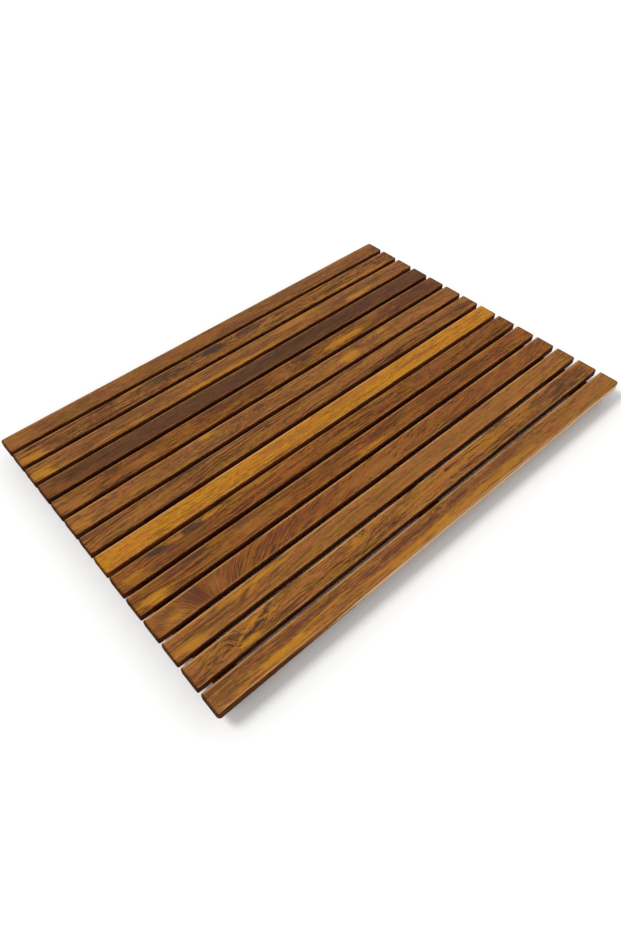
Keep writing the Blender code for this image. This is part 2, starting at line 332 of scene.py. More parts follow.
SLAT_LOOKS = (
    Look("honey", "walnut", 0.30, 0.8, (20, -70), (6, 10), 3.6, patches=(
        Patch(-332, 0, 32, 14, "honey", 0.6), Patch(-255, -4, 60, 10, "umber", 0.35),
        Patch(-70, 2, 90, 10, "amber", 0.5), Patch(180, 4, 90, 8, "walnut", 0.4)), gilt=0.25, soot=0.2),
    Look("honey", "umber", 0.33, 1.1, (-35, -60), (14, 18), 3.2, patches=(
        Patch(-336, -7, 26, 7, "golden", 0.75), Patch(-300, 0, 24, 7, "umber", 0.8, -0.35),
        Patch(-108, 5, 36, 9, "smoke", 0.85, -0.15), Patch(-32, 8, 32, 11, "smoke", 1.0, -0.1),
        Patch(-50, -9, 45, 4, "amber", 0.8), Patch(45, 6, 30, 7, "smoke", 0.8),
        Patch(68, 0, 34, 4, "honey", 0.9, 0.3), Patch(150, 4, 60, 8, "amber", 0.4),
        Patch(220, -11, 110, 3, "golden", 0.7)), gilt=0.4, soot=0.4),
    Look("honey", "walnut", 0.29, 1.0, (-50, -40), (10, 8), 3.0, rings=1.2, patches=(
        Patch(-338, -5, 22, 9, "golden", 0.75), Patch(-200, 5, 90, 7, "walnut", 0.5),
        Patch(-60, -11, 170, 4, "golden", 0.6), Patch(110, 7, 60, 6, "golden", 0.45),
        Patch(165, 4, 34, 3, "umber", 0.6), Patch(230, -8, 44, 5, "golden", 0.7),
        Patch(215, 1, 60, 3, "umber", 0.5)), gilt=0.4, soot=0.35, rub_highlight=0.5),
    Look("walnut", "umber", 0.42, 0.8, (15, -90), (3, 6), 4.0, patches=(
        Patch(-340, -2, 28, 11, "amber", 0.55), Patch(-300, -8, 60, 4, "russet", 0.4),
        Patch(-60, 0, 190, 14, "smoke", 0.25), Patch(120, 0, 190, 14, "smoke", 0.3)), gilt=0.08, soot=0.3,
        rub_highlight=0.3),
    Look("amber", "umber", 0.35, 1.0, (10, -55), (-12, 26), 4.2, knots=(
        Knot(-262, 14, 26, 16, 9), Knot(30, 2, 26, 14, 6)), patches=(
        Patch(-328, -3, 44, 12, "honey", 0.85), Patch(-262, 6, 10, 7, "umber", 0.8),
        Patch(-225, -4, 30, 8, "honey", 0.6), Patch(-198, 8, 18, 5, "umber", 0.6),
        Patch(-80, 5, 38, 8, "umber", 0.75), Patch(-35, 0, 20, 12, "umber", 0.65),
        Patch(15, -4, 22, 8, "honey", 0.6), Patch(62, 4, 18, 8, "smoke", 0.8),
        Patch(130, -4, 54, 7, "golden", 0.75), Patch(205, 6, 24, 5, "honey", 0.5),
        Patch(292, 0, 84, 18, "plum", 0.8)), gilt=0.3, soot=0.5, rub_highlight=0.3),
    Look("honey", "walnut", 0.46, 1.1, (-18, -48), (-22, 30), 2.8, knots=(
        Knot(-98, 0, 24, 15, -7), Knot(-55, 6, 22, 14, -7), Knot(158, 0, 34, 12, 5)), patches=(
        Patch(-338, -3, 22, 9, "golden", 0.5), Patch(-140, 9, 14, 4, "golden", 0.8),
        Patch(-92, 7, 12, 4, "smoke", 0.7), Patch(-52, 6, 14, 6, "smoke", 0.7),
        Patch(110, -3, 34, 8, "golden", 0.75), Patch(138, 3, 8, 6, "plum", 0.7),
        Patch(158, 0, 24, 7, "walnut", 0.7), Patch(185, 8, 24, 4, "golden", 0.6),
        Patch(340, 0, 16, 14, "russet", 0.5)), gilt=0.45, soot=0.3, rub_highlight=0.5),
    Look("honey", "umber", 0.35, 0.7, (-75, -12), (36, 0), 3.8, bow=-0.09, rings=2.6, patches=(
        Patch(-325, 8, 36, 6, "plum", 0.7), Patch(-170, 12, 70, 3, "smoke", 0.7),
        Patch(-240, -12, 90, 3, "smoke", 0.5), Patch(320, 0, 36, 10, "plum", 0.6)), gilt=0.2, soot=0.4,
        rub_highlight=0.3),
    Look("golden", "amber", 0.62, 1.4, (-60, -30), (6, 10), 2.4, patches=(
        Patch(-120, -11.5, 140, 1.6, "walnut", 0.9), Patch(175, 0, 48, 3, "russet", 0.7),
        Patch(-60, 2, 60, 4, "honey", 0.6), Patch(60, 5, 50, 4, "honey", 0.5)), gilt=0.5, soot=0.1, rub_highlight=1.0),
    Look("amber", "umber", 0.48, 0.9, (-40, -34), (14, 16), 2.6, rings=1.2, knots=(
        Knot(-240, 6, 55, 15, 8), Knot(150, -4, 30, 12, 5)), patches=(
        Patch(-330, -5, 18, 8, "golden", 0.7), Patch(-300, -8, 70, 5, "plum", 0.5),
        Patch(-288, 6, 28, 6, "smoke", 0.95, -0.2), Patch(-240, 8, 26, 7, "smoke", 1.0),
        Patch(-264, 7, 12, 3, "golden", 0.6), Patch(-212, 9, 18, 3, "golden", 0.7),
        Patch(-130, 9, 55, 3, "golden", 0.5), Patch(152, 2, 14, 6, "plum", 0.7),
        Patch(200, 4, 50, 6, "amber", 0.6)), gilt=0.35, soot=0.4, rub_highlight=0.3),
    Look("amber", "umber", 0.54, 0.85, (-56, -26), (-14, 12), 3.4, rings=1.5, knots=(
        Knot(20, 0, 60, 7, 4),), patches=(
        Patch(-325, -6, 34, 5, "golden", 0.9), Patch(-285, 9, 44, 5, "plum", 0.8),
        Patch(-256, 8, 16, 5, "smoke", 0.7), Patch(-190, -2, 60, 7, "honey", 0.5),
        Patch(-190, 9, 24, 3, "plum", 0.7), Patch(-35, 6, 24, 4, "umber", 0.6),
        Patch(50, 2, 46, 2, "umber", 0.8), Patch(15, -9, 32, 3, "golden", 0.8),
        Patch(130, 4, 24, 6, "plum", 0.5), Patch(215, 3, 36, 6, "umber", 0.5)), gilt=0.3, soot=0.35, rub_highlight=0.4),
    Look("amber", "plum", 0.58, 1.05, (-12, -40), (10, 60), 1.9, sweeps=(Sweep(-276, 50, 7),), patches=(
        Patch(-330, -2, 30, 22, "honey", 0.55, height=24, ragged=0.6), Patch(-326, 5, 13, 5, "plum", 0.6),
        Patch(-341, -4, 9, 5, "plum", 0.5), Patch(-318, -6, 14, 4, "golden", 0.5),
        Patch(-291, 3, 15, 16, "plum", 0.8),
        Patch(-262, -2, 12, 10, "honey", 0.5), Patch(-150, 3, 100, 8, "plum", 0.3),
        Patch(-10, -4, 70, 8, "honey", 0.7), Patch(230, 2, 120, 12, "russet", 0.5),
        Patch(180, -12, 160, 2.5, "smoke", 0.6)), gilt=0.3, soot=0.25, rub_highlight=0.7),
    Look("honey", "walnut", 0.64, 0.85, (-45, -42), (18, 24), 3.8, rings=1.2, patches=(
        Patch(-318, 2, 44, 2, "umber", 0.9), Patch(-250, 0, 16, 5, "umber", 0.8, 0.5),
        Patch(-290, -3, 50, 2, "umber", 0.7), Patch(-235, 3, 24, 3, "golden", 0.5, 0.4),
        Patch(-328, -7, 34, 5, "golden", 0.7), Patch(-222, 8, 44, 3, "golden", 0.7),
        Patch(100, 0, 250, 14, "honey", 0.35)), gilt=0.35, soot=0.2, rub_highlight=0.8),
    Look("honey", "umber", 0.56, 0.9, (-30, -44), (16, 24), 2.8, rings=1.2, knots=(
        Knot(-306, 4, 34, 18, -3), Knot(-262, -2, 40, 20, 8), Knot(-108, 5, 30, 18, 6)), patches=(
        Patch(-286, 4, 20, 4, "umber", 0.8, -0.4), Patch(-262, -1, 22, 3, "smoke", 1.0, 0.12, ragged=0.6),
        Patch(-250, 5, 18, 3, "smoke", 0.8, 0.35),
        Patch(-276, -9, 16, 3, "golden", 0.9), Patch(-268, 4, 22, 2.4, "golden", 0.6, 0.3),
        Patch(-240, 2, 16, 3, "golden", 0.7),
        Patch(-228, -8, 24, 4, "plum", 0.7), Patch(-112, 3, 22, 6, "golden", 0.4),
        Patch(-128, 6, 14, 5, "umber", 0.5), Patch(60, 2, 130, 6, "golden", 0.3),
        Patch(290, 2, 78, 13, "plum", 0.75), Patch(225, -12, 140, 3, "smoke", 0.6)), gilt=0.45, soot=0.3,
        rub_highlight=0.8),
    Look("honey", "walnut", 0.56, 0.9, (-30, -62), (-10, 20), 4.4, knots=(
        Knot(-4, 8, 12, 4, 5), Knot(-60, 0, 120, 8, 5)), patches=(
        Patch(-320, 10, 30, 5, "umber", 0.6), Patch(-334, 0, 22, 10, "walnut", 0.6),
        Patch(-255, -6, 58, 4.5, "golden", 0.8),
        Patch(-230, 5, 55, 5, "plum", 0.65), Patch(-70, 3, 110, 3.5, "plum", 0.8),
        Patch(-60, -9, 90, 4, "golden", 0.6), Patch(-3, 9, 8, 2.5, "umber", 1.0),
        Patch(90, 5, 100, 4, "plum", 0.65), Patch(60, -8, 110, 5, "golden", 0.5),
        # The pale lines along the worn near top edge and at the near-left corner are painted highlight
        Patch(310, 0, 50, 12, "honey", 0.4), Patch(-280, -12.6, 80, 1, "rubbed_highlight", 0.75, ragged=0.5),
        Patch(-205, -1, 60, 1.6, "golden", 0.7, 0.06),
        Patch(-338, -11, 9, 1.2, "rubbed_highlight", 0.5, -0.3)),
        # Painted light on the front face: painted shade on its left part, painted reflection of the bright
        # floor to the right, and a dark line just under the top edge
        side_patches=(
        Patch(-312, -17.6, 108, 4.4, "dark", 1.0, z=0, height=20, ragged=0.15),
        Patch(110, -15.2, 310, 1.8, "beige_reflection", 1.0, z=0, height=8, ragged=0.15),
        Patch(100, -15.0, 320, 1.5, "umber", 0.9, z=4.3, height=0.9, ragged=0.15)),
        gilt=0.25, soot=0.15, rub_highlight=0.6, sides=0.5),
)
BATTEN_LOOK = Look("walnut", "umber", 0.4, 0.8, (-20, -60), (10, 14), 3.4)


# ---------------------------------------------------------------- nodes


def plug(tree, socket, value):
    if isinstance(value, bpy.types.NodeSocket):
        tree.links.new(value, socket)
    elif socket.type == "RGBA" and len(value) == 3:
        socket.default_value = (*value, 1.0)
    else:
        socket.default_value = value


def maths(tree, operation, *values, clamp=False):
    node = tree.nodes.new("ShaderNodeMath")
    node.operation = operation
    node.use_clamp = clamp
    for socket, value in zip(node.inputs, values):
        plug(tree, socket, value)
    return node.outputs["Value"]


def vectors(tree, operation, *values):
    node = tree.nodes.new("ShaderNodeVectorMath")
    node.operation = operation
    for socket, value in zip(node.inputs, values):
        plug(tree, socket, value)
    return node.outputs["Value" if operation == "LENGTH" else "Vector"]


def ramp(tree, value, low, high, to_low=0.0, to_high=1.0):
    """A smooth step of value from low to high."""
    node = tree.nodes.new("ShaderNodeMapRange")
    node.interpolation_type = "SMOOTHSTEP"
    for name, given in (
        ("Value", value), ("From Min", low), ("From Max", high), ("To Min", to_low), ("To Max", to_high)
    ):
        plug(tree, node.inputs[name], given)
    return node.outputs["Result"]


def mix(tree, factor, first, second, mode="MIX"):
    node = tree.nodes.new("ShaderNodeMix")
    node.data_type = "RGBA"
    node.blend_type = mode
    node.clamp_factor = True
    for socket, value in zip([socket for socket in node.inputs if socket.enabled], (factor, first, second)):
        plug(tree, socket, value)
    return [socket for socket in node.outputs if socket.enabled][0]


def clouds(tree, vector, detail, roughness=0.5, scale=1.0):
    node = tree.nodes.new("ShaderNodeTexNoise")
    plug(tree, node.inputs["Vector"], vector)
    plug(tree, node.inputs["Scale"], scale)
    plug(tree, node.inputs["Detail"], detail)
    plug(tree, node.inputs["Roughness"], roughness)
    return node.outputs["Fac"]


def streaks(tree, place, along, over, detail, roughness, deep=None):
    """Clouds drawn out along the board: waves a metre along it, across it, and through it if that differs."""
    scaled = vectors(tree, "MULTIPLY", place, (along, over, over if deep is None else deep))
    return clouds(tree, scaled, detail, roughness)


def split(tree, vector):
    node = tree.nodes.new("ShaderNodeSeparateXYZ")
    plug(tree, node.inputs["Vector"], vector)
    return [node.outputs[axis] for axis in "XYZ"]


def join(tree, x, y, z):
    node = tree.nodes.new("ShaderNodeCombineXYZ")
    for axis, value in zip("XYZ", (x, y, z)):
        plug(tree, node.inputs[axis], value)
    return node.outputs["Vector"]


def new_group(name, inputs, outputs):
    """An empty node group. inputs and outputs map names to Float, Vector or Color."""
    tree = bpy.data.node_groups.new(name, "ShaderNodeTree")
    for socket_name, kind in inputs.items():
        tree.interface.new_socket(socket_name, in_out="INPUT", socket_type="NodeSocket" + kind)
    for socket_name, kind in outputs.items():
        tree.interface.new_socket(socket_name, in_out="OUTPUT", socket_type="NodeSocket" + kind)
    entry = tree.nodes.new("NodeGroupInput")
    leave = tree.nodes.new("NodeGroupOutput")
    return tree, entry.outputs, leave.inputs


def use_group(tree, name, **values):
    node = tree.nodes.new("ShaderNodeGroup")
    node.node_tree = bpy.data.node_groups[name]
    for key, value in values.items():
        plug(tree, node.inputs[key.replace("_", " ")], value)
    return node.outputs


def make_knot_group():
    """Bends the grain across the board round an oval, as a knot or a limb did in the tree."""
    tree, given, out = new_group(
        "Grain knot",
        {"Vector": "Vector", "Centre": "Vector", "Size": "Vector", "Push": "Float"},
        {"Vector": "Vector"},
    )
    offset = vectors(tree, "SUBTRACT", given["Vector"], given["Centre"])
    inside = vectors(tree, "DIVIDE", offset, given["Size"])
    reach = vectors(tree, "LENGTH", inside)
    push = ramp(tree, reach, 1.0, 0.0, 0.0, given["Push"])
    plug(tree, out["Vector"], vectors(tree, "ADD", given["Vector"], join(tree, 0.0, push, push)))


def make_sweep_group():
    """Fans the grain out to both sides of a place along the board, as under the fork of a tree."""
    tree, given, out = new_group(
        "Grain feather", {"Vector": "Vector", "Centre": "Float", "Bend": "Float", "Heart": "Float"},
        {"Vector": "Vector"},
    )
    x, _, _ = split(tree, given["Vector"])
    away = maths(tree, "ABSOLUTE", maths(tree, "SUBTRACT", x, given["Centre"]))
    away = maths(tree, "ADD", away, given["Heart"])
    fan = maths(tree, "LOGARITHM", maths(tree, "MULTIPLY", away, 10.0), math.e)
    shift = maths(tree, "MULTIPLY", maths(tree, "MULTIPLY", fan, given["Bend"]), -1.0)
    plug(tree, out["Vector"], vectors(tree, "ADD", given["Vector"], join(tree, 0.0, shift, 0.0)))


def make_patch_group():
    """A mask over a stretch of the board, with ends that run out along the fibres."""
    tree, given, out = new_group(
        "Wood tone and painted light patch",
        {
            "Vector": "Vector", "Grain": "Vector", "Centre": "Vector", "Size": "Vector",
            "Strength": "Float", "Slope": "Float", "Ragged": "Float",
        },
        {"Mask": "Float"},
    )
    offset = vectors(tree, "SUBTRACT", given["Vector"], given["Centre"])
    along, _, _ = split(tree, offset)
    climb = maths(tree, "MULTIPLY", maths(tree, "MULTIPLY", along, given["Slope"]), -1.0)
    inside = vectors(tree, "DIVIDE", vectors(tree, "ADD", offset, join(tree, 0.0, climb, 0.0)), given["Size"])
    ribbons = streaks(tree, given["Grain"], 20, 400, 4, 0.65)
    blots = streaks(tree, given["Grain"], 34, 120, 3, 0.6)
    ragged = maths(tree, "MULTIPLY", maths(tree, "SUBTRACT", ribbons, 0.5), 3.0)
    ragged = maths(tree, "MULTIPLY_ADD", maths(tree, "SUBTRACT", blots, 0.5), 2.4, ragged)
    reach = maths(tree, "MULTIPLY_ADD", ragged, given["Ragged"], vectors(tree, "LENGTH", inside))
    far_out = maths(tree, "MULTIPLY_ADD", given["Ragged"], 0.15, 1.0)
    well_in = maths(tree, "MULTIPLY_ADD", given["Ragged"], -0.55, 1.0)
    mask = ramp(tree, reach, far_out, well_in, 0.0, given["Strength"])
    fibres = streaks(tree, given["Grain"], 36, 800, 2, 0.5)
    plug(tree, out["Mask"], maths(tree, "MULTIPLY", mask, ramp(tree, fibres, 0.34, 0.60, 0.70, 1.0)))


def make_teak_group():
    """Teak cut from a log: growth rings round the pith, streaks, fibres and open pores."""
    tree, given, out = new_group(
        "Teak",
        {
            "Vector": "Vector", "Pith": "Vector", "Lean": "Vector", "Bow": "Float", "Ring": "Float",
            "Rings": "Float", "Seed": "Float", "Balance": "Float", "Contrast": "Float", "Light": "Color",
            "Dark": "Color", "Gilt": "Float", "Gilt Tone": "Color", "Soot": "Float", "Soot Tone": "Color",
        },
        {"Color": "Color", "Height": "Float", "Gloss": "Float"},
    )
    x, _, _ = split(tree, given["Vector"])
    leaning = vectors(tree, "SCALE", given["Lean"])
    plug(tree, leaning.node.inputs["Scale"], x)
    bowed = maths(tree, "MULTIPLY", maths(tree, "MULTIPLY", x, x), given["Bow"])
    leaning = vectors(tree, "ADD", leaning, join(tree, 0.0, bowed, 0.0))
    from_pith = vectors(tree, "SUBTRACT", given["Vector"], given["Pith"])
    from_pith = vectors(tree, "SUBTRACT", from_pith, leaning)
    _, across, deep = split(tree, from_pith)
    seeded = maths(tree, "MULTIPLY", given["Seed"], 7.31)

    # Growth rings: each drifts a little along the board, and some are fainter than others
    radius = vectors(tree, "LENGTH", join(tree, 0.0, across, deep))
    drift_along = maths(tree, "MULTIPLY_ADD", x, 5.0, seeded)
    drift_place = join(tree, drift_along, maths(tree, "MULTIPLY", radius, 70.0), 0.0)
    drift = clouds(tree, drift_place, 3.0, 0.55)
    phase = maths(tree, "DIVIDE", radius, given["Ring"])
    phase = maths(tree, "MULTIPLY_ADD", maths(tree, "SUBTRACT", drift, 0.5), 3.2, phase)
    place = maths(tree, "FRACT", phase)
    late = maths(tree, "POWER", place, 2.2)
    ring_number = maths(tree, "MULTIPLY", maths(tree, "FLOOR", phase), 1.37)
    ring_mood = clouds(tree, join(tree, seeded, ring_number, maths(tree, "MULTIPLY", x, 4.0)), 0.0)
    ring_line = maths(tree, "MULTIPLY", late, ramp(tree, ring_mood, *RING_STEP))

    # The wood's tone, from its rings, streaks and blots
    wood = join(tree, maths(tree, "ADD", x, seeded), across, deep)
    tone = maths(tree, "MULTIPLY", maths(tree, "SUBTRACT", 0.25, ring_line), given["Rings"])
    for along, over, detail, weight in STREAK_LAYERS:
        layer = streaks(tree, wood, along, over, detail, 0.6)
        tone = maths(tree, "MULTIPLY_ADD", maths(tree, "SUBTRACT", layer, 0.5), weight, tone)
    tone = maths(tree, "MULTIPLY_ADD", tone, given["Contrast"], given["Balance"])
    blot = streaks(tree, wood, 9, 45, 2, 0.5)
    tone = maths(tree, "MULTIPLY_ADD", maths(tree, "SUBTRACT", blot, 0.5), 0.9, tone, clamp=True)
    colour = mix(tree, tone, given["Dark"], given["Light"])

    # Golden and sooty streaks, then a change of warmth, fine hairs and the open pores
    gilt_streak = streaks(tree, wood, 17, 520, 3, 0.62, deep=300)
    gilt = maths(tree, "MULTIPLY", ramp(tree, gilt_streak, *GILT_STEP), given["Gilt"])
    colour = mix(tree, gilt, colour, given["Gilt Tone"])
    soot_place = vectors(tree, "ADD", wood, (3.7, 0.9, 0.4))
    soot_streak = streaks(tree, soot_place, 13, 420, 3, 0.62, deep=240)
    soot = maths(tree, "MULTIPLY", ramp(tree, soot_streak, *SOOT_STEP), given["Soot"])
    colour = mix(tree, soot, colour, given["Soot Tone"])

    warmth = streaks(tree, wood, 15, 110, 4, 0.65)
    tint = mix(tree, ramp(tree, warmth, 0.38, 0.62), OLIVE_TINT, WARM_TINT)
    colour = mix(tree, 1.0, colour, tint, "MULTIPLY")
    hair_place = vectors(tree, "ADD", wood, (1.9, 0.3, 0.8))
    hair = streaks(tree, hair_place, 15, 820, 2, 0.5)
    colour = mix(tree, ramp(tree, hair, *HAIR_STEP, 0.0, 0.6), colour, HAIR_TINT, "MULTIPLY")
    pore = streaks(tree, wood, 150, 3400, 1, 0.5)
    pores = ramp(tree, pore, *PORE_STEP)
    pores = maths(tree, "MULTIPLY", pores, ramp(tree, place, 0.75, 0.1, 0.35, 1.0))
    colour = mix(tree, maths(tree, "MULTIPLY", pores, 0.65), colour, PORE_TINT, "MULTIPLY")
    plug(tree, out["Color"], colour)

    height = maths(tree, "MULTIPLY_ADD", tone, 0.5, maths(tree, "MULTIPLY", pores, -1.0))
    plug(tree, out["Height"], height)
    gloss = maths(tree, "MULTIPLY_ADD", tone, -0.10, 0.05)
    plug(tree, out["Gloss"], maths(tree, "MULTIPLY_ADD", pores, 0.3, gloss))


def make_cut_group():
    """The board's edges: dark end grain, partly its own soaked dark and partly painted shade; sides darkened
    with painted shade for the gaps between boards; and a pale band on the rounded top edges, worn wood with
    painted highlight.
    """
    tree, given, out = new_group(
        "Cut edges",
        {
            "Vector": "Vector", "Half Size": "Vector", "Color": "Color", "Ends": "Float", "Sides": "Float",
            "Rub": "Float", "Rub Tone": "Color",
        },
        {"Color": "Color", "Rough": "Float"},
    )
    outside = vectors(tree, "SUBTRACT", vectors(tree, "ABSOLUTE", given["Vector"]), given["Half Size"])
    off_x, off_y, _ = split(tree, outside)
    _, _, up = split(tree, vectors(tree, "SUBTRACT", given["Vector"], given["Half Size"]))
    jagged = streaks(tree, given["Vector"], 160, 300, 2, 0.6)
    shift = maths(tree, "MULTIPLY", maths(tree, "SUBTRACT", jagged, 0.5), 0.0016)
    # End grain darkened, partly its own soaked dark and partly painted shade; sides darkened as painted shade
    # for the gaps between boards
    ends = ramp(tree, maths(tree, "ADD", off_x, shift), *END_BAND, 0.0, given["Ends"])
    sides = ramp(tree, maths(tree, "ADD", off_y, shift), *SIDE_SHADE_BAND, 0.0, given["Sides"])

    # A pale band on the rounded top edges, in patches: worn wood with painted highlight
    rubbed_highlight = streaks(tree, given["Vector"], 14, 40, 3, 0.6, deep=0)
    rub_highlight = maths(tree, "MULTIPLY", ramp(tree, rubbed_highlight, *RUB_HIGHLIGHT_STEP), given["Rub"])
    rub_highlight = maths(tree, "MULTIPLY", rub_highlight, ramp(tree, off_y, *RUB_HIGHLIGHT_SIDE_BAND))
    rub_highlight = maths(tree, "MULTIPLY", rub_highlight, ramp(tree, up, *RUB_HIGHLIGHT_TOP_BAND))
    rub_highlight = maths(tree, "MULTIPLY", rub_highlight, ramp(tree, off_x, *RUB_HIGHLIGHT_END_BAND))
    # The painted highlight is strongest on the far edges, which face the key
    _, across, _ = split(tree, given["Vector"])
    rub_highlight = maths(tree, "MULTIPLY", rub_highlight, ramp(tree, across, -0.004, 0.004, 0.4, 1.0))
    colour = mix(tree, rub_highlight, given["Color"], given["Rub Tone"])
    colour = mix(tree, sides, colour, SIDE_SHADE_TINT, "MULTIPLY")
    colour = mix(tree, ends, colour, END_GRAIN_AND_SHADE_TINT, "MULTIPLY")
    plug(tree, out["Color"], colour)
    plug(tree, out["Rough"], maths(tree, "MULTIPLY", maths(tree, "MAXIMUM", ends, sides), 0.22))


def make_scuff_group():
    """Fine wear and moulding marks for the fittings: brushed streaks, dust in hollows and small scratches."""
    tree, given, out = new_group(
        "Scuffs",
        {"Vector": "Vector", "Color": "Color", "Scale": "Float", "Amount": "Float"},
        {"Color": "Color", "Rough": "Float", "Height": "Float"},
    )
    spots = clouds(tree, given["Vector"], 4.0, 0.65, given["Scale"])
    fine = clouds(tree, given["Vector"], 2.0, 0.6, maths(tree, "MULTIPLY", given["Scale"], 6.0))
    worn = maths(tree, "MULTIPLY", ramp(tree, spots, 0.35, 0.7), given["Amount"])
    plug(tree, out["Color"], mix(tree, worn, given["Color"], DUST_TINT, "MULTIPLY"))
    plug(tree, out["Rough"], maths(tree, "MULTIPLY", worn, 0.3))
    plug(tree, out["Height"], maths(tree, "MULTIPLY_ADD", fine, 0.5, spots))


def new_material(name):
    """An empty material: its node tree, its shader and where its surface lies."""
    material = bpy.data.materials.new(name)
    material.use_nodes = True
    tree = material.node_tree
    shader = tree.nodes["Principled BSDF"]
    place = tree.nodes.new("ShaderNodeTexCoord").outputs["Object"]
    return material, tree, shader, place


def add_bump(tree, shader, height, distance):
    bump = tree.nodes.new("ShaderNodeBump")
    bump.inputs["Distance"].default_value = distance
    plug(tree, bump.inputs["Height"], height)
    plug(tree, shader.inputs["Normal"], bump.outputs["Normal"])


def to_board(tree, place, node, turned=False):
    """The place on the board, from its middle, with the board's length along X."""
    mapping = tree.nodes.new("ShaderNodeMapping")
    mapping.vector_type = "TEXTURE"
    mapping.inputs["Location"].default_value = middle_of(node)
    if turned:
        mapping.inputs["Rotation"].default_value = (0.0, 0.0, math.radians(90))
    plug(tree, mapping.inputs["Vector"], place)
    return mapping.outputs["Vector"]


def wander(tree, vector, seed):
    """The board's own slow waves, which every grain line follows."""
    shift = 0.0
    for step, along, over, reach in GRAIN_WAVES:
        moved = vectors(tree, "ADD", vector, (seed * step, 0.0, 0.0))
        wave = streaks(tree, moved, along, over, 2, 0.5)
        shift = maths(tree, "MULTIPLY_ADD", maths(tree, "SUBTRACT", wave, 0.5), reach, shift)
    return vectors(tree, "ADD", vector, join(tree, 0.0, shift, 0.0))


def paint_patches(tree, patches, colour, board, grain, wood):
    """The colour with each patch's tone laid over it."""
    for patch in patches:
        mask = use_group(
            tree, "Wood tone and painted light patch", Vector=board, Grain=grain,
            Centre=(patch.x / 1000, patch.y / 1000, patch.z / 1000),
            Size=(patch.length / 1000, patch.width / 1000, patch.height / 1000), Strength=patch.strength,
            Slope=patch.slope, Ragged=patch.ragged,
        )["Mask"]
        colour = mix(tree, mask, colour, getattr(wood, patch.tone))
    return colour


def make_teak_material(name, node, look, seed, wood, turned=False):
    """The teak of one board. turned is for a board that runs along Y."""
    material, tree, shader, place = new_material(name)
    board = to_board(tree, place, node, turned)
    grain = wander(tree, board, seed)
    for sweep in look.sweeps:
        grain = use_group(
            tree, "Grain feather", Vector=grain, Centre=sweep.x / 1000, Bend=sweep.bend / 1000,
            Heart=sweep.heart / 1000,
        )["Vector"]
    for knot in look.knots:
        grain = use_group(
            tree, "Grain knot", Vector=grain, Centre=(knot.x / 1000, knot.y / 1000, 0.005),
            Size=(knot.length / 1000, knot.width / 1000, knot.width / 500), Push=knot.push / 1000,
        )["Vector"]
    teak = use_group(
        tree, "Teak", Vector=grain, Pith=(0.0, look.pith[0] / 1000, look.pith[1] / 1000),
        Lean=(0.0, look.lean[0] / 1000, look.lean[1] / 1000), Bow=look.bow, Ring=look.ring / 1000,
        Rings=look.rings, Seed=seed, Balance=look.balance, Contrast=look.contrast,
        Light=getattr(wood, look.light), Dark=getattr(wood, look.dark), Gilt=look.gilt,
        Gilt_Tone=wood.golden, Soot=look.soot, Soot_Tone=wood.smoke,
    )
    colour = paint_patches(tree, look.patches, teak["Color"], board, grain, wood)
    half = size_of(node) / 2
    if turned:
        half = Vector((half.y, half.x, half.z))
    cut = use_group(
        tree, "Cut edges", Vector=board, Half_Size=half, Color=colour, Ends=wood.end_grain_and_shade_darkness,
        Sides=look.sides, Rub=look.rub_highlight, Rub_Tone=wood.rubbed_highlight,
    )
    colour = paint_patches(tree, look.side_patches, cut["Color"], board, grain, wood)
    plug(tree, shader.inputs["Base Color"], colour)
    rough = maths(tree, "ADD", teak["Gloss"], maths(tree, "ADD", cut["Rough"], wood.roughness), clamp=True)
    plug(tree, shader.inputs["Roughness"], rough)
    shader.inputs["Specular IOR Level"].default_value = wood.shine
    add_bump(tree, shader, teak["Height"], wood.grain_depth)
    return material


def make_fitting_material(name, colour, roughness, metallic, scale, depth):
    """Steel or rubber with fine wear: scale is how fine, and depth how deep."""
    material, tree, shader, place = new_material(name)
    scuffs = use_group(tree, "Scuffs", Vector=place, Color=colour, Scale=scale, Amount=0.6)
    plug(tree, shader.inputs["Base Color"], scuffs["Color"])
    plug(tree, shader.inputs["Roughness"], maths(tree, "ADD", scuffs["Rough"], roughness, clamp=True))
    shader.inputs["Metallic"].default_value = metallic
    add_bump(tree, shader, scuffs["Height"], depth)
    return material


# ---------------------------------------------------------------- shapes


def add_piece(name, bm, material, replaced, smooth_angle=40):
    """A finished piece at its place, riding on the mat and standing for its frame node."""
    bmesh.ops.recalc_face_normals(bm, faces=bm.faces)
    mesh = bpy.data.meshes.new(name)
    bm.to_mesh(mesh)
    bm.free()
    mesh.shade_smooth()
    mesh.set_sharp_from_angle(angle=math.radians(smooth_angle))
    mesh.materials.append(material)
    piece = bpy.data.objects.new(name, mesh)
    bpy.context.scene.collection.objects.link(piece)
    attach(piece, BODY)
    if replaced:
        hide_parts(replaced)


def bevel_edges(bm, edges, radius, segments):
    bmesh.ops.bevel(
        bm, geom=edges, offset=radius, offset_type="OFFSET", segments=segments, profile=0.5,
        affect="EDGES", material=-1,
    )


def is_upright(edge):
    low, high = sorted(vertex.co.z for vertex in edge.verts)
    return high - low > edge.calc_length() / 2


def is_square_corner(edge, size, side):
    """Whether the edge is one of the two upright corners on the board's far (1) or near (-1) side."""
    place = edge.verts[0].co
    return (
        is_upright(edge) and abs(place.y * side - size.y / 2) < SAME_PLACE
        and abs(abs(place.x) - size.x / 2) < SAME_PLACE
    )


def cut_across(bm, point, direction):
    bmesh.ops.bisect_plane(
        bm, geom=[*bm.verts, *bm.edges, *bm.faces], dist=CUT_MERGE, plane_co=point, plane_no=direction
    )


